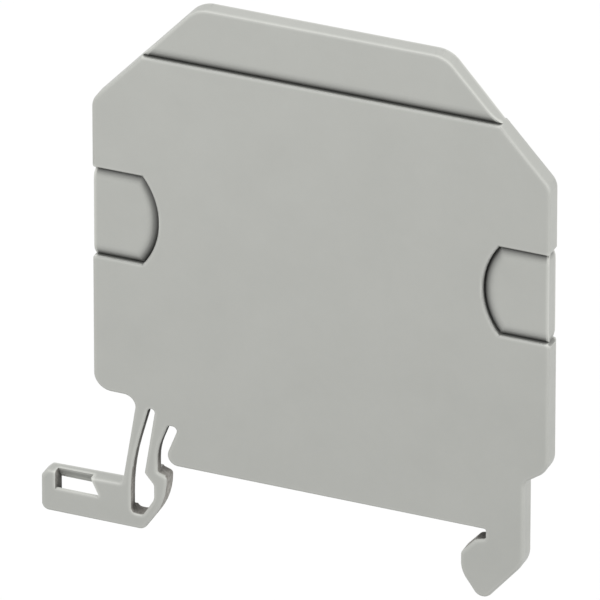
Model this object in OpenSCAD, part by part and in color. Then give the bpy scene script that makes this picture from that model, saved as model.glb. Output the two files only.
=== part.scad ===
// Partition plate for a row of rail-mounted terminal blocks: one moulding with a fixed hook,
// a sprung foot and three fields that break out along grooves.
// X runs along the width of the plate, Y through its thickness and Z up from the rail.

/* [Plate] */
// Width of the plate
plate_width = 48.7; // [46.5:0.1:54]
// Height of the plate above the rail
plate_height = 52; // [46:0.5:60]
// Thickness of the moulding
plate_thickness = 2.1; // [1.8:0.1:3]
// Width that a sloped top corner takes
corner_run = 11.2; // [7:0.1:13]
// Height that a sloped top corner takes
corner_drop = 12.3; // [9:0.1:13]
// Rounding at the top end of a slope
top_round = 3; // [1:0.1:5]
// Rounding at the lower end of a slope
side_round = 2; // [0.5:0.1:4]
// Height of the plate's lower corners above the rail
wing_level = 7.05; // [6.5:0.05:9]
// Rounding of the lower corner over the sprung foot
wing_round = 1.9; // [0.5:0.1:3]
// Rounding of all edges along the two faces
edge_round = 0.3; // [0.15:0.01:0.34]

/* [Break-out fields] */
// Height of the top strip over its groove
strip_height = 6.45; // [4:0.05:8]
// Height of a side field
field_height = 9.9; // [7:0.1:12]
// Height of the middle of the side fields above the rail
field_level = 27.2; // [18:0.05:29]
// Radius of the round inner end of a side field
field_radius = 8; // [6.4:0.1:9]
// Reach of a side field into the plate
field_reach = 7.1; // [5:0.05:10]
// Depth of the grooves in the front face
groove_front = 0.8; // [0.4:0.05:0.85]
// Depth of the grooves in the back face
groove_back = 0.45; // [0.4:0.05:0.85]
// Width of the round slope from a field down into its groove
groove_ramp = 1.4; // [0.8:0.05:2]
// Rounding of the plate's edge along a groove
groove_round = 0.25; // [0.1:0.01:0.3]
// Depth of the fields below the faces
field_recess = 0.1; // [0.05:0.01:0.3]
// Distance of the side fields' edges inside the plate's sides
field_inset = 0.18; // [0.05:0.01:0.3]
// Depth of the top strip's upper edge below the back face
strip_recess = 0.2; // [0.05:0.01:0.35]
// Depth of the notch where a side field's groove leaves the plate
groove_notch = 0.3; // [0.2:0.01:0.5]

/* [Rail] */
// Width of the mounting rail
rail_width = 35; // [34:0.1:36]
// Thickness of the rail's flanges
rail_thickness = 1; // [0.8:0.05:1.5]
// Play beside the rail at the hook
hook_play = 0.2; // [0:0.01:0.3]
// Play beside the rail at the sprung foot
foot_play = 0.02; // [0:0.01:0.3]
// Play under each flange of the rail
rail_under_play = 0.12; // [0.05:0.01:0.4]

/* [Fixed hook] */
// Width of the hook beside the rail
hook_width = 4.1; // [3:0.05:5]
// Reach of the lip under the rail
hook_reach = 2.65; // [1.8:0.05:3.5]
// Length of the lip's bearing face
lip_length = 1.1; // [0.8:0.05:1.6]
// Fall of the bearing face to its end
lip_fall = 0.3; // [0:0.01:0.4]
// Height of the sloped nose of the lip
lip_nose = 1.75; // [1:0.05:2.2]
// Depth below the rail where the inner side turns to the point
hook_belly = 5.2; // [4.8:0.1:6]
// Depth below the rail where the outer side turns to the point
hook_heel = 3.15; // [2:0.05:5]
// Depth below the rail of the point, before it is rounded
hook_depth = 8.45; // [7.8:0.05:9]
// Height of the hook's outer side where it meets the plate
hook_root = 6.2; // [5:0.1:6.3]
// Height of the plate's lower corner over the hook
hook_wing = 7.95; // [7.4:0.05:9]

/* [Sprung foot] */
// Length of the foot beyond the rail's edge
foot_length = 12.6; // [10:0.05:15]
// Depth of the foot below the rail
foot_depth = 8; // [7.5:0.05:9]
// Depth below the rail of the top of the foot's tab
tab_level = 3.2; // [2.9:0.05:3.6]
// Reach of the catch under the rail
catch_reach = 1.05; // [0.9:0.05:1.6]
// Fall of the catch to its end
catch_fall = 0.36; // [0.1:0.01:0.5]
// Thickness of the outer arm
arm_outer = 0.9; // [0.7:0.01:0.95]
// Thickness of the inner arm
arm_inner = 1.15; // [0.95:0.05:1.3]
// Width of the slot between the arms
slot_width = 1.25; // [1:0.05:1.5]
// Height of the top of that slot above the rail
slot_top = 6; // [5:0.1:6.4]
// Width of the slot between the inner arm and the plate
gap_width = 1.15; // [0.9:0.05:1.4]
// Height of the top of that slot above the rail
gap_top = 4.45; // [4:0.05:5]
// Set-back of the foot's back behind the plate's
foot_relief = 0.38; // [0.36:0.01:0.5]
// Set-back of the back of the arms
arm_relief = 1; // [0.6:0.05:1.2]
// Length of the screwdriver opening in the tab
window_length = 4.7; // [3:0.1:5.5]
// Distance of the opening from the end of the tab
window_margin = 1.55; // [0.9:0.05:2]
// Height of the opening at the front face
window_height = 1.85; // [1:0.05:2.2]

/* [Hidden] */

// Largest distance of a chord from the arc that it follows
arc_deviation = 0.01;
// Chords in the rounding of an edge
edge_chords = 3;
// Part of a chord by which it runs on past the surface that it cuts
overrun = 0.5;
// Room that a cut takes outside the plate
margin = 0.1;
// Sides of the polygon that stands for a round field
field_sides = 120;
// Chords in the round slope into a groove, and the grid that the points of a groove lie on
ramp_chords = 6;
profile_grid = 0.001;
// Part of a straight side that the roundings at its ends may take
side_share = 0.98;

// Half the plate's width and thickness
half_width = plate_width / 2;
half_thickness = plate_thickness / 2;
// Distances of the two rail stops from the middle of the rail
hook_stop = rail_width / 2 + hook_play;
foot_stop = rail_width / 2 + foot_play;
// Distance of the lip and the catch below the upper side of the rail's flange
under = rail_thickness + rail_under_play;

// Roundings of small inner corners, small outer corners and slot ends
inner_round = 0.2;
outer_round = 0.4;
slot_round = 0.45;
// Roundings of the hook, from its lip round to the plate
lip_round = 0.6;
belly_round = 3.2;
point_round = 1.1;
heel_round = 2.8;
root_round = 1.2;
hook_wing_round = 2.4;
// Distance of the hook's point inside the rail stop
point_inset = 0.35;

// Lean of the arms, as run over height, and of the inner arm's upper end
arm_lean = 0.16;
gap_lean = 0.38;
// Height of the bend in the inner arm and its rounding
bend_level = 1.45;
bend_round = 6.5;
// Distance of the plate's nose from the inner arm and its rounding
nose_gap = 0.57;
nose_round = 1.15;
// Fall of the tab's top to its end, rounding of the corner between arm and tab, chamfer and
// rounding of the tab's end
tab_fall = 0.15;
tab_root_round = 0.45;
tab_chamfer = 0.68;
tab_round = 0.8;
// Distance of the toe outside the rail stop, its rounding, depth of the sole's bend and its
// rounding
toe_inset = 1.5;
toe_round = 0.9;
sole_depth = 4.2;
sole_round = 8;

// Slot between the arms: knee of the inner arm, pocket behind the catch and floor
knee_depth = 1.45;
knee_round = 0.35;
pocket_inset = 0.36;
pocket_top = 2.65;
pocket_bottom = 4.35;
pocket_round = 0.6;
pocket_heel_round = 1.6;
floor_depth = 6.35;
floor_inset = 1.58;
floor_flare = 0.44;
floor_round = 0.6;
flare_level = -1;
flare_lean = 0.273;
flare_round = 24;
// Edge rounding along that slot, where the arms are thin
slot_edge_round = min(edge_round, 0.2);

// Screwdriver opening: slopes of its floor and rear wall as fall over depth, depth of the
// rear wall at the tab's top, slope of its end and the chamfer at the front
window_floor_slope = 0.62;
window_wall_slope = 1.55;
window_lip = 0.75;
window_end_slope = 0.47;
window_chamfer = 0.25;

// Left sides of the inner and outer arms at a height above the rail
function slot_right(z) = -foot_stop - arm_inner + z * arm_lean;
function arm_left(z) = -foot_stop - arm_inner - slot_width - arm_outer + z * arm_lean;
// Left side of the slot where it runs straight down to its floor
slot_left = -foot_stop - arm_inner - slot_width - floor_flare;
// Right side of the inner arm at the top of the open slot
gap_left = -foot_stop + (gap_top - bend_level) * gap_lean;
// Free end of the tab
tab_end = -foot_stop - foot_length;

// Corners of the plate, counter-clockwise, as [x, z, rounding]
hook_corners = [
    [hook_stop, 0, inner_round],
    [hook_stop, -under, inner_round],
    [hook_stop - lip_length, -under - lip_fall, lip_round],
    [hook_stop - hook_reach, -under - lip_fall - lip_nose, lip_round],
    [hook_stop - hook_reach, -hook_belly, belly_round],
    [hook_stop - point_inset, -hook_depth, point_round],
    [hook_stop + hook_width, -hook_heel, heel_round],
    [hook_stop + hook_width, hook_root, root_round],
    [half_width, hook_wing, hook_wing_round]
];
plate_corners = [
    [half_width, plate_height - corner_drop, side_round],
    [half_width - corner_run, plate_height, top_round],
    [corner_run - half_width, plate_height, top_round],
    [-half_width, plate_height - corner_drop, side_round],
    [-half_width, wing_level, wing_round]
];
foot_corners = [
    [arm_left(wing_level), wing_level, root_round],
    [arm_left(-tab_level), -tab_level, tab_root_round],
    [tab_end + tab_chamfer, -tab_level - tab_fall, outer_round],
    [tab_end, -tab_level - tab_fall - tab_chamfer, outer_round],
    [tab_end, -foot_depth, tab_round],
    [-foot_stop - toe_inset, -foot_depth, toe_round],
    [-foot_stop + catch_reach, -sole_depth, sole_round],
    [-foot_stop + catch_reach, -under - catch_fall, outer_round],
    [-foot_stop, -under, inner_round],
    [-foot_stop, bend_level, bend_round],
    [gap_left, gap_top, slot_round],
    [gap_left + gap_width, gap_top, slot_round],
    [-foot_stop + nose_gap, 0, nose_round]
];
outline = concat(hook_corners, plate_corners, foot_corners);

// Corners of the closed slot between the arms, clockwise
slot_corners = [
    [slot_left + (slot_top - flare_level) * flare_lean, slot_top, slot_round],
    [slot_right(slot_top), slot_top, slot_round],
    [slot_right(-knee_depth), -knee_depth, knee_round],
    [-foot_stop - pocket_inset, -pocket_top, pocket_round],
    [-foot_stop - pocket_inset, -pocket_bottom, pocket_heel_round],
    [-foot_stop - floor_inset, -floor_depth, slot_round],
    [slot_left, -floor_depth, floor_round],
    [slot_left, flare_level, flare_round]
];

// Corner i of a closed outline, and the length and heading of the side that leaves it
function corner(outline, i) = outline[(i + len(outline)) % len(outline)];
function side(outline, i) =
    let (a = corner(outline, i), b = corner(outline, i + 1)) [b[0] - a[0], b[1] - a[1]];
function heading(outline, i) = atan2(side(outline, i)[1], side(outline, i)[0]);
// Turn at corner i, positive to the left
function turn(outline, i) =
    let (angle = heading(outline, i) - heading(outline, i - 1))
    angle > 180 ? angle - 360 : angle < -180 ? angle + 360 : angle;
// Distance from corner i to the ends of its rounding
function setback(outline, i) = corner(outline, i)[2] * tan(abs(turn(outline, i)) / 2);
// Share of side i that is free for the roundings at its two ends
function room(outline, i) =
    side_share * norm(side(outline, i)) / (setback(outline, i) + setback(outline, i + 1));
// Rounding of corner i, smaller where a side is too short for it
function rounding(outline, i) =
    corner(outline, i)[2] * min(1, room(outline, i - 1), room(outline, i));
// Chords that follow an arc
function chords(radius, angle) = max(1, ceil(angle / (2 * acos(1 - arc_deviation / radius))));

// Points along an outline with rounded corners, as [x, z, heading].
// Phase 0 puts points on the ends of each arc, phase 0.5 half a chord inside them.
function path(outline, phase) = [
    for (i = [0 : len(outline) - 1])
        let (
            radius = rounding(outline, i),
            angle = turn(outline, i),
            from = heading(outline, i - 1),
            bend = sign(angle) * radius,
            back = radius * tan(abs(angle) / 2),
            x = corner(outline, i)[0] - back * cos(from),
            z = corner(outline, i)[1] - back * sin(from),
            count = chords(radius, abs(angle))
        )
        for (k = [phase : count - phase])
            let (to = from + angle * k / count)
            [x + bend * (sin(to) - sin(from)), z + bend * (cos(from) - cos(to)), to]
];

// Quarter round of a radius as [distance past the edge, height over the face], with its
// first and last chords run on past the face and the side
function quarter_round(radius) =
    let (arc = [for (k = [0 : edge_chords])
        radius * [sin(90 * k / edge_chords) - 1, cos(90 * k / edge_chords) - 1]])
    concat(
        [arc[0] + overrun * (arc[0] - arc[1])],
        [for (k = [1 : edge_chords - 1]) arc[k]],
        [arc[edge_chords] + overrun * (arc[edge_chords] - arc[edge_chords - 1])]
    );

// Outline as a flat shape
module rounded(outline) polygon([for (p = path(outline, 0)) [p[0], p[1]]]);

// Stands a flat shape in X and Z upright, with its thickness along Y
module upright(thickness) rotate([90, 0, 0]) linear_extrude(thickness, center = true) children();

// Runs a flat shape in Y and Z along X
module along(length) rotate([90, 0, 90]) linear_extrude(length, center = true) children();

// Cut that rounds one edge all along an outline; face is -1 in front and 1 at the back
module edge_cut(outline, radius, face) {
    points = path(outline, 0.5);
    section = concat(quarter_round(radius), [[margin, margin]]);
    rings = len(points);
    count = len(section);
    polyhedron(
        [for (p = points, s = section)
            [p[0] + s[0] * sin(p[2]), face * (half_thickness + s[1]), p[1] - s[0] * cos(p[2])]],
        [for (i = [0 : rings - 1], j = [0 : count - 1])
            let (a = i * count, b = (i + 1) % rings * count, k = (j + 1) % count)
            face < 0 ? [a + j, a + k, b + k, b + j] : [b + j, b + k, a + k, a + j]]
    );
}

// Point of a profile, moved to the grid
function snapped(point) = [for (value = point) round(value / profile_grid) * profile_grid];

// Wall of a groove with its rounded edge, as [distance into the plate, depth]
function groove_wall(depth) =
    let (edge = quarter_round(groove_round))
    concat(
        [for (k = [0 : edge_chords - 1]) snapped([-edge[k][0], -edge[k][1]])],
        [snapped([0, groove_round]), [0, depth]]
    );

// Quarter of an ellipse from the bottom of a groove up to its field
function ramp(depth) = [
    for (k = [ramp_chords : -1 : 0])
        let (a = 90 * k / ramp_chords)
        snapped([groove_ramp * (sin(a) - 1), field_recess + (depth - field_recess) * (1 - cos(a))])
];

// Groove and lowered field of the top strip; slope goes from the groove's bottom to the top edge
module strip_cut(face, slope) {
    end = slope[len(slope) - 1];
    profile = concat(
        groove_wall(slope[0][1]),
        [for (k = [1 : len(slope) - 1]) slope[k]],
        [[-strip_height - margin, end[1]]],
        [[-strip_height - margin, -margin]]
    );
    along(plate_width)
        polygon([for (p = profile)
            [face * (half_thickness - p[1]), plate_height - strip_height - p[0]]]);
}

// Round and straight sides of a field meet in the same profile of [distance, depth]
module field_shape(face, profile) {
    ends = [profile[0][1], profile[len(profile) - 1][1]];
    intersection() {
        translate([0, face * half_thickness, 0])
            rotate([90 * face, 0, 0])
                rotate_extrude($fn = field_sides)
                    polygon(concat(
                        [[0, ends[0]]],
                        [for (p = profile) [field_radius + p[0], p[1]]],
                        [[0, ends[1]]]
                    ));
        along(2 * (field_radius + margin))
            polygon([for (end = [1, -1], k = [0 : len(profile) - 1])
                let (p = profile[end > 0 ? k : len(profile) - 1 - k])
                [face * (half_thickness - p[1]), end * (field_height / 2 + p[0])]]);
    }
}

// List in the opposite order
function reverse(list) = [for (k = [len(list) - 1 : -1 : 0]) list[k]];

// Groove and lowered field of a side field, about the middle of its round end
module field_cut(face, depth) {
    slope = ramp(depth);
    reach = 2 * margin / (slope[0][1] - slope[1][1]);
    foot = [slope[0] + reach * (slope[0] - slope[1])];
    rise = [for (k = [1 : ramp_chords]) slope[k]];
    difference() {
        field_shape(face, groove_wall(depth + margin));
        field_shape(face, reverse(concat(foot, rise)));
    }
}

// Edge of a side field, set in from the plate's side, with a notch at each groove
module field_edge() {
    end = field_height / 2;
    inner = end - groove_ramp / 2;
    half = [
        [0, end + groove_notch],
        [groove_notch, end],
        [field_inset, inner],
        [field_inset, -inner],
        [groove_notch, -end],
        [0, -end - groove_notch]
    ];
    upright(plate_thickness + 2 * margin)
        polygon(concat(half, [for (k = [len(half) - 2 : -1 : 1]) [-half[k][0], half[k][1]]]));
}

// Cut into the back face, of a flat shape in X and Z
module back_cut(depth) {
    translate([0, half_thickness - (depth - margin) / 2, 0])
        upright(depth + margin)
            children();
}

// Thinner back of the foot, up to the roots of its arms, and of the arms
module foot_back() {
    inner_root = gap_top - slot_round;
    outer_root = slot_top - slot_round;
    catch_end = margin - foot_stop + catch_reach;
    slot_middle = slot_left + slot_width / 2;
    roots = [
        [gap_left + gap_width / 2, inner_root],
        [slot_right(inner_root) - slot_round, inner_root],
        [slot_right(outer_root) - slot_round, outer_root]
    ];
    arm_end = margin - under;
    pocket_end = floor_round / 2 - floor_depth;
    gap_end = -foot_stop + nose_gap / 2;
    back_cut(foot_relief)
        polygon(concat(
            [[tab_end - margin, -foot_depth - margin], [catch_end, -foot_depth - margin]],
            [[catch_end, -under / 2], [gap_end, 0]],
            roots,
            [[tab_end - margin, outer_root]]
        ));
    back_cut(arm_relief)
        polygon(concat(
            [[arm_left(pocket_end) - margin, pocket_end], [slot_middle, pocket_end]],
            [[slot_middle, arm_end], [gap_end, arm_end], [gap_end, 0]],
            roots,
            [[arm_left(outer_root) - margin, outer_root]]
        ));
}

// Slanted opening for a screwdriver, from the tab's front and top through to its back
module window() {
    left = tab_end + window_margin;
    right = left + window_length;
    sill = -tab_level - window_height;
    front = -half_thickness - margin;
    back = half_thickness + margin;
    lip = -half_thickness + window_lip;
    intersection() {
        upright(plate_thickness + 4 * margin)
            polygon([
                [left, -foot_depth],
                [right, -foot_depth],
                [right, sill],
                [right - (window_height + margin) * window_end_slope, margin - tab_level],
                [left, margin - tab_level]
            ]);
        along(2 * foot_length + plate_width)
            polygon([
                [front, sill - window_chamfer - margin],
                [window_chamfer - half_thickness, sill - window_chamfer * window_floor_slope],
                [back, sill - (back + half_thickness) * window_floor_slope],
                [back, -tab_level - (back - lip) * window_wall_slope],
                [lip - 2 * margin, -tab_level + 2 * margin * window_wall_slope],
                [front, -tab_level + 2 * margin * window_wall_slope]
            ]);
    }
}

// The whole moulding
module partition_plate() {
    color([0.45, 0.45, 0.43])
        difference() {
            upright(plate_thickness)
                difference() {
                    rounded(outline);
                    rounded(slot_corners);
                }
            for (face = [-1, 1]) {
                depth = face < 0 ? groove_front : groove_back;
                edge_cut(outline, edge_round, face);
                edge_cut(slot_corners, slot_edge_round, face);
                strip_cut(face, face < 0 ? ramp(depth) : [[0, depth], [-strip_height, strip_recess]]);
                for (end = [-1, 1])
                    translate([end * (half_width - field_reach + field_radius), 0, field_level])
                        field_cut(face, depth);
            }
            for (end = [-1, 1])
                translate([end * half_width, 0, field_level])
                    field_edge();
            foot_back();
            window();
        }
}

partition_plate();
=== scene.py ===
# %% [markdown]
# A partition plate parts two groups of terminal blocks on a mounting rail. It is one flat moulding of
# grey polyamide: a plate with sloped top corners, a fixed hook on one side, a sprung foot on the other,
# and a top strip and two side fields that can be broken out along grooves.
# The imported solid brings all of these shapes with it. The first cell loads it and keeps its box.

# %% Load the moulding
import math

import bpy
from mathutils import Matrix, Vector


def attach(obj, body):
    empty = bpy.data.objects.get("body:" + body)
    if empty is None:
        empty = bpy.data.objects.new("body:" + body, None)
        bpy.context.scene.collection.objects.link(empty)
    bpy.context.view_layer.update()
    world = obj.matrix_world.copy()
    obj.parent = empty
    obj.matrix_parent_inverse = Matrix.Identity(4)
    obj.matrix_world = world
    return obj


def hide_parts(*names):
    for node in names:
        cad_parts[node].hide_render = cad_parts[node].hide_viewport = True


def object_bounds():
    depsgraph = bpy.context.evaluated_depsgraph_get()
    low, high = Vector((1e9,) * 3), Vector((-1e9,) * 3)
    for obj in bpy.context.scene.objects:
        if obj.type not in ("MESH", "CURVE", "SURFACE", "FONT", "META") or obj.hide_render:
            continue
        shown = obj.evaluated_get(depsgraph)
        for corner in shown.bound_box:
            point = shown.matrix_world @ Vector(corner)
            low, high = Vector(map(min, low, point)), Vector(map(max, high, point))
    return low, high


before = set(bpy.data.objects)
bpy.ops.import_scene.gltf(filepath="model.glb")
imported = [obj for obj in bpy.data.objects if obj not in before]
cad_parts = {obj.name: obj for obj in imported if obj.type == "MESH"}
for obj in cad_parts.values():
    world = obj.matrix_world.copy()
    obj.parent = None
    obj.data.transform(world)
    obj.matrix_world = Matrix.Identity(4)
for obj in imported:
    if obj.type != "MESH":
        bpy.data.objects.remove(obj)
solid_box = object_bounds()
solid_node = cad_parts["partition_plate"]

MM = 0.001
width, thickness, height = (solid_box[1] - solid_box[0]) / MM
print(f"solid: {width:.2f} x {thickness:.2f} x {height:.2f} mm, {len(solid_node.data.polygons)} triangles")


# %% [markdown]
# The camera comes first, because everything else is judged through it. The plate is seen a little from
# the right and from above, and its parallel edges stay almost parallel, so the lens is very long and
# far away. Instead of turning the camera by eye, its place is worked out: two angles give the direction,
# the scale and the focal length give the distance, and one known point of the plate says where the
# frame sits. The aim moves the whole camera sideways, so that no lens shift is needed.

# %% Camera
IMAGE_SIZE = 600
SENSOR_WIDTH = 36.0
AZIMUTH = math.radians(22.38)
ELEVATION = math.radians(28.93)
PIXELS_PER_MM = 10.138
FOCAL_PIXELS = 16000

# A point on the middle line of the plate, and the pixel where it is seen, from the top left corner
KNOWN_POINT = Vector((0, 0, 22 * MM))
KNOWN_PIXEL = (323.64, 297.58)

to_right = Vector((math.cos(AZIMUTH), math.sin(AZIMUTH), 0))
to_camera = Vector((
    math.sin(AZIMUTH) * math.cos(ELEVATION),
    -math.cos(AZIMUTH) * math.cos(ELEVATION),
    math.sin(ELEVATION),
))
to_top = to_camera.cross(to_right)

right_of_middle = (KNOWN_PIXEL[0] - IMAGE_SIZE / 2) / PIXELS_PER_MM * MM
above_middle = (IMAGE_SIZE / 2 - KNOWN_PIXEL[1]) / PIXELS_PER_MM * MM
aim = KNOWN_POINT - to_right * right_of_middle - to_top * above_middle
distance = FOCAL_PIXELS / PIXELS_PER_MM * MM

bpy.ops.object.select_all(action="DESELECT")
bpy.ops.object.camera_add(location=aim + to_camera * distance)
camera = bpy.context.object
camera.rotation_euler = Matrix((to_right, to_top, to_camera)).transposed().to_euler()
camera.data.sensor_width = SENSOR_WIDTH
camera.data.lens = FOCAL_PIXELS / IMAGE_SIZE * SENSOR_WIDTH
bpy.context.scene.camera = camera
print(f"camera: {distance:.3f} m away, lens {camera.data.lens:.0f} mm")


# %% [markdown]
# The moulding keeps the exact shape of the solid, so it isn't modelled a second time. What it lacks is
# a mesh that shades well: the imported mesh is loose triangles, and each one would show as a facet. So a
# copy is made and its points are merged. Triangles that lie in one plane are dissolved into large
# faces, which leaves only the edges that the shape has.

# %% Copy and clean the mesh
MERGE_DISTANCE = 0.001 * MM
FLAT_ANGLE = math.radians(0.05)

bpy.ops.object.select_all(action="DESELECT")
solid_node.select_set(True)
bpy.context.view_layer.objects.active = solid_node
bpy.ops.object.duplicate()
moulding = bpy.context.object
moulding.name = "plate_moulding"
moulding.data.name = "plate_moulding"

bpy.ops.object.mode_set(mode="EDIT")
bpy.ops.mesh.select_all(action="SELECT")
bpy.ops.mesh.customdata_custom_splitnormals_clear()
bpy.ops.mesh.remove_doubles(threshold=MERGE_DISTANCE)
bpy.ops.mesh.dissolve_limited(angle_limit=FLAT_ANGLE)
bpy.ops.object.mode_set(mode="OBJECT")
print(f"moulding: {len(moulding.data.vertices)} points, {len(moulding.data.polygons)} faces")


# %% [markdown]
# The edges along both faces of the moulding are rounded by a few narrow strips. Smooth shading blends
# them, but it would also bend the light on the large flat faces beside them. The cure is a pair that is
# common on rounded hard surfaces: an angle that keeps true creases sharp, and weighted normals, which
# let the larger face decide. The slopes out of the grooves then run softly into their fields as well.

# %% Shade the moulding
CREASE_ANGLE = math.radians(40)
LARGEST_FACE_DECIDES = 100

bpy.ops.object.shade_smooth_by_angle(angle=CREASE_ANGLE)
weighted = moulding.modifiers.new("Large faces stay flat", "WEIGHTED_NORMAL")
weighted.mode = "FACE_AREA"
weighted.weight = LARGEST_FACE_DECIDES
weighted.keep_sharp = True
bpy.ops.object.modifier_apply(modifier=weighted.name)

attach(moulding, "root")
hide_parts("partition_plate")
print("moulding rides on the root body and stands for the solid")


# %% [markdown]
# The plate's polyamide is a neutral warm grey with a soft, wide gloss, as a matt tool leaves it. Close
# up, such a moulding isn't one colour: the melt leaves faint clouds and specks, and an eroded tool
# prints a grain of about a tenth of a millimetre. Noises make all of this, so two small helpers come
# first: one for a noise whose blobs have a known size, one for two values that follow it. They read
# Object coordinates, so the grain keeps one size and runs through the whole moulding.

# %% Noise helpers
# Most of a noise lies between these two values
NOISE_LOW, NOISE_HIGH = 0.3, 0.7


def noise_at(nodes, links, coordinates, grain, detail, fineness=0.5):
    """Noise whose blobs are about grain wide, in metres. Fineness is the weight of smaller ones."""
    noise = nodes.new("ShaderNodeTexNoise")
    noise.inputs["Scale"].default_value = 1 / grain
    noise.inputs["Detail"].default_value = detail
    noise.inputs["Roughness"].default_value = fineness
    links.new(coordinates.outputs["Object"], noise.inputs["Vector"])
    return noise


def ramp_between(nodes, links, noise, low, high):
    """Two colours that follow a noise."""
    ramp = nodes.new("ShaderNodeValToRGB")
    ramp.color_ramp.elements[0].position = NOISE_LOW
    ramp.color_ramp.elements[0].color = (*low, 1)
    ramp.color_ramp.elements[1].position = NOISE_HIGH
    ramp.color_ramp.elements[1].color = (*high, 1)
    links.new(noise.outputs["Fac"], ramp.inputs["Fac"])
    return ramp.outputs["Color"]


print("helpers: noise_at, ramp_between")


# %% [markdown]
# The break-off grooves are nearly black, far darker than shade alone makes them in this light, so more
# shade is painted into their colour as a dark film. The cause can't be told from outside: a rough
# bottom, dust or mould release would each do it, so one dark film stands for all of them. The Ambient
# Occlusion node finds its places: it measures how closed in each point is within a short reach,
# looking at this piece alone. A ramp turns that into the share of the colour that is left. It falls
# fast at first, so that the slopes beside a groove darken too, and then levels out.

# %% Painted shade in the grooves
CAVITY_REACH = 1.9 * MM
# How open a point is, and the share of its colour that the painted shade leaves there
GROOVE_SHADE_STEPS = ((0.44, 0.24), (0.7, 0.32), (0.86, 0.46), (0.94, 0.66), (1, 1))


def openness(nodes):
    """1 on open faces, towards 0 where the moulding closes in on itself."""
    cavity = nodes.new("ShaderNodeAmbientOcclusion")
    cavity.only_local = True
    cavity.inputs["Distance"].default_value = CAVITY_REACH
    return cavity.outputs["AO"]


def with_painted_shade(nodes, links, value, colour, shade_steps):
    """The colour, darkened with painted shade as its openness falls."""
    share = nodes.new("ShaderNodeValToRGB")
    steps = share.color_ramp.elements
    steps.remove(steps[1])
    for index, (position, left) in enumerate(shade_steps):
        step = steps[0] if index == 0 else steps.new(position)
        step.position = position
        step.color = (left, left, left, 1)
    links.new(value, share.inputs["Fac"])
    darker = nodes.new("ShaderNodeVectorMath")
    darker.operation = "MULTIPLY"
    links.new(colour, darker.inputs[0])
    links.new(share.outputs["Color"], darker.inputs[1])
    return darker.outputs["Vector"]


print(f"film: {CAVITY_REACH / MM:.1f} mm reach, down to {GROOVE_SHADE_STEPS[0][1]:.0%} of the colour")


# %% [markdown]
# The foot and the hook have no grooves, so the painted shade ends above them: below a level, every
# point counts as open. A Map Range turns the height into a 1 or a 0 with a soft step between, and the
# larger of that and the openness is what the painted shade reads.

# %% Where the painted shade ends
# Heights between which the painted shade fades out
SHADE_ENDS, SHADE_FULL = 15 * MM, 18 * MM


def mapped(nodes, links, value, from_range, to_range):
    """A value of one range, as the value at the same place of another range."""
    node = nodes.new("ShaderNodeMapRange")
    node.inputs["From Min"].default_value, node.inputs["From Max"].default_value = from_range
    node.inputs["To Min"].default_value, node.inputs["To Max"].default_value = to_range
    links.new(value, node.inputs["Value"])
    return node.outputs["Result"]


def larger_of(nodes, links, first, second):
    """The larger of two values."""
    larger = nodes.new("ShaderNodeMath")
    larger.operation = "MAXIMUM"
    links.new(first, larger.inputs[0])
    links.new(second, larger.inputs[1])
    return larger.outputs["Value"]


def open_below(nodes, links, coordinates, value):
    """The openness, and 1 everywhere on the foot and the hook."""
    place = nodes.new("ShaderNodeSeparateXYZ")
    links.new(coordinates.outputs["Object"], place.inputs["Vector"])
    low = mapped(nodes, links, place.outputs["Z"], (SHADE_ENDS, SHADE_FULL), (1, 0))
    return larger_of(nodes, links, value, low)


print(f"film: ends {SHADE_ENDS / MM:.0f} mm above the rail")


# %% [markdown]
# Thin light lines run along the rounded edges. They are painted highlights: the colour is made paler
# there. Polyamide lets a little light through, which may be the cause: at an edge, light that goes in
# on one side comes out on the other. The same node finds these places when it looks inside, since an
# edge is where the other side of the material is very near. The painted shade is kept off them: along
# the grooves they count as open, so a painted light line borders each groove.

# %% Painted highlights on the edges
EDGE_REACH = 0.4 * MM
# Painted highlight: how much paler the colour gets along the edges
EDGE_HIGHLIGHT_TONE = 1.34
# The depth inside at which the painted highlight on an edge is palest, and at which no painted shade is
# left on it
PALEST, SHADE_FREE = 0.55, 0.85


def depth_inside(nodes):
    """1 under flat faces, towards 0 where the moulding runs out into an edge."""
    inner = nodes.new("ShaderNodeAmbientOcclusion")
    inner.inside = True
    inner.only_local = True
    inner.inputs["Distance"].default_value = EDGE_REACH
    return inner.outputs["AO"]


def open_at_edges(nodes, links, inner, value):
    """The openness, and 1 on the rounded edges."""
    edge = mapped(nodes, links, inner, (SHADE_FREE, 1), (1, 0))
    return larger_of(nodes, links, value, edge)


def scaled(nodes, links, colour, share):
    """The colour times a share."""
    node = nodes.new("ShaderNodeVectorMath")
    node.operation = "SCALE"
    links.new(colour, node.inputs[0])
    links.new(share, node.inputs["Scale"])
    return node.outputs["Vector"]


def with_painted_highlight(nodes, links, inner, colour):
    """The colour, made paler with a painted highlight where the moulding runs out into an edge."""
    return scaled(nodes, links, colour, mapped(nodes, links, inner, (PALEST, 1), (EDGE_HIGHLIGHT_TONE, 1)))


print(f"edges: {EDGE_REACH / MM:.1f} mm reach, up to {EDGE_HIGHLIGHT_TONE:.0%} of the colour")


# %% [markdown]
# The plate looks a trace paler at its strip than at its foot and hook, as the light falls off across
# it. This small step is painted into the colour as a drift: a dot product with one direction tells how
# far along that way a point lies, and a Map Range makes a few hundredths of brightness out of it. The
# light or the plastic may be the cause, and the step is small either way, so a drift of the colour
# does for it.

# %% Painted light across the plate
PALE_WAY = Vector((-0.35, 0, 0.94))
PALE_FROM, PALE_TO = -15 * MM, 50 * MM
# Painted light: the colour is this much darker or paler at the two ends
PAINTED_FALLOFF_TONES = (0.92, 1.06)


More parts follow.
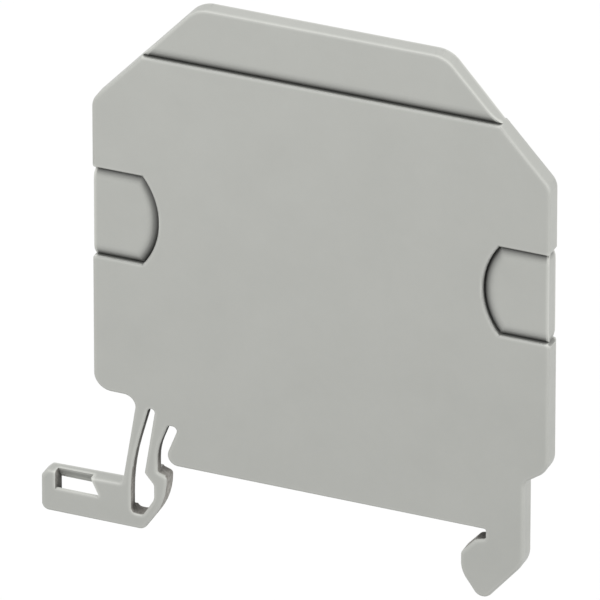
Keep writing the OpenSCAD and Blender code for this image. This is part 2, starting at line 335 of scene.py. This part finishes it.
def with_painted_falloff(nodes, links, coordinates, colour):
    """The colour, a little paler along one way through the moulding: painted light."""
    along = nodes.new("ShaderNodeVectorMath")
    along.operation = "DOT_PRODUCT"
    along.inputs[1].default_value = PALE_WAY
    links.new(coordinates.outputs["Object"], along.inputs[0])
    share = mapped(nodes, links, along.outputs["Value"], (PALE_FROM, PALE_TO), PAINTED_FALLOFF_TONES)
    return scaled(nodes, links, colour, share)


print(f"drift: over {(PALE_TO - PALE_FROM) / MM:.0f} mm of the moulding")


# %% [markdown]
# Now the finish itself. A wide noise with much fine detail moves the colour by a few hundredths, a
# middle one the roughness, and a fine one drives a very shallow bump, which breaks up the gloss without
# showing as a pattern. The gloss is wide and weak, since a matt tool leaves no polished skin, but it
# adds to the thin light lines along the rounded upper edges.

# %% Grey polyamide
POLYAMIDE_IOR = 1.53
CLOUD_SIZE, PATCH_SIZE, GRAIN_SIZE = 9 * MM, 1.2 * MM, 0.12 * MM
CLOUD_DARK, CLOUD_PALE = (0.433, 0.439, 0.412), (0.46, 0.466, 0.438)
LEAST_ROUGH, MOST_ROUGH = (0.46, 0.46, 0.46), (0.54, 0.54, 0.54)
GRAIN_STRENGTH = 0.12
GRAIN_DEPTH = 0.03 * MM


def grey_polyamide():
    """Matt moulded polyamide with a faint cloud in its colour and a fine grain, and painted light and
    shade.
    """
    material = bpy.data.materials.new("grey_polyamide")
    material.use_nodes = True
    nodes, links = material.node_tree.nodes, material.node_tree.links
    shader = nodes["Principled BSDF"]
    shader.inputs["IOR"].default_value = POLYAMIDE_IOR
    coordinates = nodes.new("ShaderNodeTexCoord")

    cloud = noise_at(nodes, links, coordinates, CLOUD_SIZE, detail=8, fineness=0.7)
    colour = ramp_between(nodes, links, cloud, CLOUD_DARK, CLOUD_PALE)
    # Painted light: the colour grows paler towards the strip
    falloff_painted = with_painted_falloff(nodes, links, coordinates, colour)
    inner = depth_inside(nodes)
    # Painted highlight along the rounded edges
    highlight_painted = with_painted_highlight(nodes, links, inner, falloff_painted)
    grooves = open_below(nodes, links, coordinates, openness(nodes))
    cleared = open_at_edges(nodes, links, inner, grooves)
    # Painted shade: the colour is darkened in the grooves and on the slopes beside them
    shade_painted = with_painted_shade(nodes, links, cleared, highlight_painted, GROOVE_SHADE_STEPS)
    links.new(shade_painted, shader.inputs["Base Color"])

    patches = noise_at(nodes, links, coordinates, PATCH_SIZE, detail=3)
    gloss = ramp_between(nodes, links, patches, LEAST_ROUGH, MOST_ROUGH)
    links.new(gloss, shader.inputs["Roughness"])

    grain = noise_at(nodes, links, coordinates, GRAIN_SIZE, detail=2)
    bump = nodes.new("ShaderNodeBump")
    bump.inputs["Strength"].default_value = GRAIN_STRENGTH
    bump.inputs["Distance"].default_value = GRAIN_DEPTH
    links.new(grain.outputs["Fac"], bump.inputs["Height"])
    links.new(bump.outputs["Normal"], shader.inputs["Normal"])
    return material


moulding.data.materials.clear()
moulding.data.materials.append(grey_polyamide())
print("moulding finish:", moulding.data.materials[0].name)


# %% [markdown]
# The slots and the window of the foot and the notch behind the hook's nose go right through the plate.
# Their walls look duller, darker and more speckled than the faces. The darkness is the shade between
# near walls, deeper than this light makes it, so it is painted: the walls get a second, darker copy of
# the same plastic, with a coarser noise and painted shade of its own steps.

# %% Painted shade on the slot walls
SPECKLE_SIZE = 0.35 * MM
# Darker colours of the same plastic: painted shade on the walls, with a random speckle
SHADED_SPECKLE_DARK, SHADED_SPECKLE_PALE = (0.21, 0.2, 0.184), (0.37, 0.36, 0.336)
# How open a point is, and the share of its colour that the painted shade leaves there
WALL_SHADE_STEPS = ((0.44, 0.24), (0.58, 0.36), (0.72, 0.7), (1, 1))
WALL_ROUGHNESS, WALL_GLOSS = 0.8, 0.2


def shaded_slot_wall():
    """Dull, speckled wall of a slot, darkened with painted shade."""
    material = bpy.data.materials.new("shaded_slot_wall")
    material.use_nodes = True
    nodes, links = material.node_tree.nodes, material.node_tree.links
    shader = nodes["Principled BSDF"]
    shader.inputs["Roughness"].default_value = WALL_ROUGHNESS
    shader.inputs["Specular IOR Level"].default_value = WALL_GLOSS
    coordinates = nodes.new("ShaderNodeTexCoord")
    speckle = noise_at(nodes, links, coordinates, SPECKLE_SIZE, detail=3)
    colour = ramp_between(nodes, links, speckle, SHADED_SPECKLE_DARK, SHADED_SPECKLE_PALE)
    # Painted shade, deeper the more closed in the wall is
    shade_painted = with_painted_shade(nodes, links, openness(nodes), colour, WALL_SHADE_STEPS)
    links.new(shade_painted, shader.inputs["Base Color"])
    return material


moulding.data.materials.append(shaded_slot_wall())
print("second finish:", moulding.data.materials[1].name)


# %% [markdown]
# The painted shade of the second finish belongs on chosen faces. They could be picked by hand, but a
# rule still holds when a size changes. A wall of a slot stands square to the plate and has other walls
# close by, so short rays in the plane of the plate find it: one along its normal and two to each side.
# Two of these three ways must be closed, which leaves out inner corners. The ramp of the toe, which
# slides over the rail, is turned from the light and gets the same painted shade, but it lies open, so
# its place and the way it faces tell.

# %% Find the slot walls
SQUARE_TO_PLATE = 0.3
SLOT_TOP = 8 * MM
WALL_NEAR = 5 * MM
START_OFF = 0.001 * MM
WAYS = ((-60, -35), (0,), (35, 60))
WAYS_CLOSED = 2
RAMP_LEFT_OF, RAMP_BELOW = -14 * MM, -1.2 * MM
FACES_RAIL = 0.5


def is_near(face, turn):
    """Does a ray, turned in the plane of the plate away from the face's normal, soon hit a wall?"""
    start = face.center + face.normal * START_OFF
    ray = Matrix.Rotation(math.radians(turn), 3, "Y") @ face.normal
    return moulding.ray_cast(start, ray, distance=WALL_NEAR)[0]


def is_slot_wall(face):
    """Low enough, and with other walls close by."""
    if face.center.z > SLOT_TOP:
        return False
    return sum(any(is_near(face, turn) for turn in way) for way in WAYS) >= WAYS_CLOSED


def is_ramp(face):
    """On the side of the foot's toe that slides over the rail."""
    at_toe = face.center.x < RAMP_LEFT_OF and face.center.z < RAMP_BELOW
    return at_toe and face.normal.x > FACES_RAIL


bpy.context.view_layer.update()
square = [face for face in moulding.data.polygons if abs(face.normal.y) < SQUARE_TO_PLATE]
# These faces get the darker copy of the plastic: painted shade
walls = [face for face in square if is_slot_wall(face) or is_ramp(face)]
for face in walls:
    face.material_index = 1
print(f"slot walls: {len(walls)} faces of {len(moulding.data.polygons)}")


# %% [markdown]
# In use the plate is clipped to its rail, so nothing here stands under it: the floor is a plain pale
# plane some way below, and the plate's shadow falls on it. Seen by the camera the floor is white. For
# the light that it throws back it is a pale grey, so that the light from below is about as strong as the
# sky and no side of the plate falls into the dark. Light Path tells these two kinds of ray apart.

# %% Floor
FLOOR_DROP = 70 * MM
FLOOR_SIZE = 6.0
FLOOR_BOUNCED, FLOOR_SEEN = (0.6, 0.6, 0.6, 1), (0.95, 0.95, 0.95, 1)


def seen_directly(nodes, links):
    """1 for rays from the camera and for mirrored and transmitted ones, otherwise 0."""
    path = nodes.new("ShaderNodeLightPath")
    total = path.outputs["Is Camera Ray"]
    for kind in ("Is Glossy Ray", "Is Transmission Ray"):
        total = larger_of(nodes, links, total, path.outputs[kind])
    return total


def studio_floor():
    """White to the eye, darker to the light that bounces off it."""
    material = bpy.data.materials.new("studio_floor")
    material.use_nodes = True
    nodes, links = material.node_tree.nodes, material.node_tree.links
    nodes.remove(nodes["Principled BSDF"])
    bounced = nodes.new("ShaderNodeBsdfDiffuse")
    bounced.inputs["Color"].default_value = FLOOR_BOUNCED
    seen = nodes.new("ShaderNodeBsdfDiffuse")
    seen.inputs["Color"].default_value = FLOOR_SEEN
    mix = nodes.new("ShaderNodeMixShader")
    links.new(seen_directly(nodes, links), mix.inputs["Fac"])
    links.new(bounced.outputs["BSDF"], mix.inputs[1])
    links.new(seen.outputs["BSDF"], mix.inputs[2])
    links.new(mix.outputs["Shader"], nodes["Material Output"].inputs["Surface"])
    return material


bpy.ops.object.select_all(action="DESELECT")
bpy.ops.mesh.primitive_plane_add(size=FLOOR_SIZE, location=(0, 0, solid_box[0].z - FLOOR_DROP))
floor = bpy.context.object
floor.name = "studio_floor"
floor.data.materials.append(studio_floor())
print(f"floor: {FLOOR_DROP / MM:.0f} mm below the moulding")


# %% [markdown]
# The light is a plain soft studio. One broad lamp from above makes the upper edges the lightest, and a
# weaker one from the right lifts the narrow side. Sun lamps with a wide angle are used, as they light
# floor and plate evenly, as very large softboxes do.

# %% Lamps
def softbox(name, direction, strength, spread):
    """Wide sun lamp that shines from a direction."""
    bpy.ops.object.select_all(action="DESELECT")
    bpy.ops.object.light_add(type="SUN")
    lamp = bpy.context.object
    lamp.name = name
    lamp.rotation_euler = Vector(direction).to_track_quat("Z", "Y").to_euler()
    lamp.data.energy = strength * math.pi
    lamp.data.angle = math.radians(spread)
    print(f"{name}: strength {strength}, {spread} degrees wide")


softbox("softbox_above", direction=(-0.33, -0.5, 0.8), strength=0.54, spread=30)
softbox("softbox_right", direction=(0.95, -0.2, 0.2), strength=0.42, spread=20)


# %% [markdown]
# The rest is an even sky from all round, which is why the grooves shade alike on both of their sides.
# The world makes it. As on the floor, Light Path splits it: it lights the plate at its own strength, and
# to the camera and to mirrored rays it is plain white, so the background never needs more light.

# %% Sky
SKY_LIGHT = 0.55
WHITE = (1, 1, 1, 1)

world = bpy.data.worlds.new("studio")
bpy.context.scene.world = world
world.use_nodes = True
sky_nodes, sky_links = world.node_tree.nodes, world.node_tree.links
sky = sky_nodes["Background"]
sky.inputs["Color"].default_value = WHITE
sky.inputs["Strength"].default_value = SKY_LIGHT
white = sky_nodes.new("ShaderNodeBackground")
white.inputs["Color"].default_value = WHITE
white.inputs["Strength"].default_value = 1
choose = sky_nodes.new("ShaderNodeMixShader")
sky_links.new(seen_directly(sky_nodes, sky_links), choose.inputs["Fac"])
sky_links.new(sky.outputs["Background"], choose.inputs[1])
sky_links.new(white.outputs["Background"], choose.inputs[2])
sky_links.new(choose.outputs["Shader"], sky_nodes["World Output"].inputs["Surface"])

bpy.context.scene.view_settings.view_transform = "Standard"
print(f"sky: strength {SKY_LIGHT}")
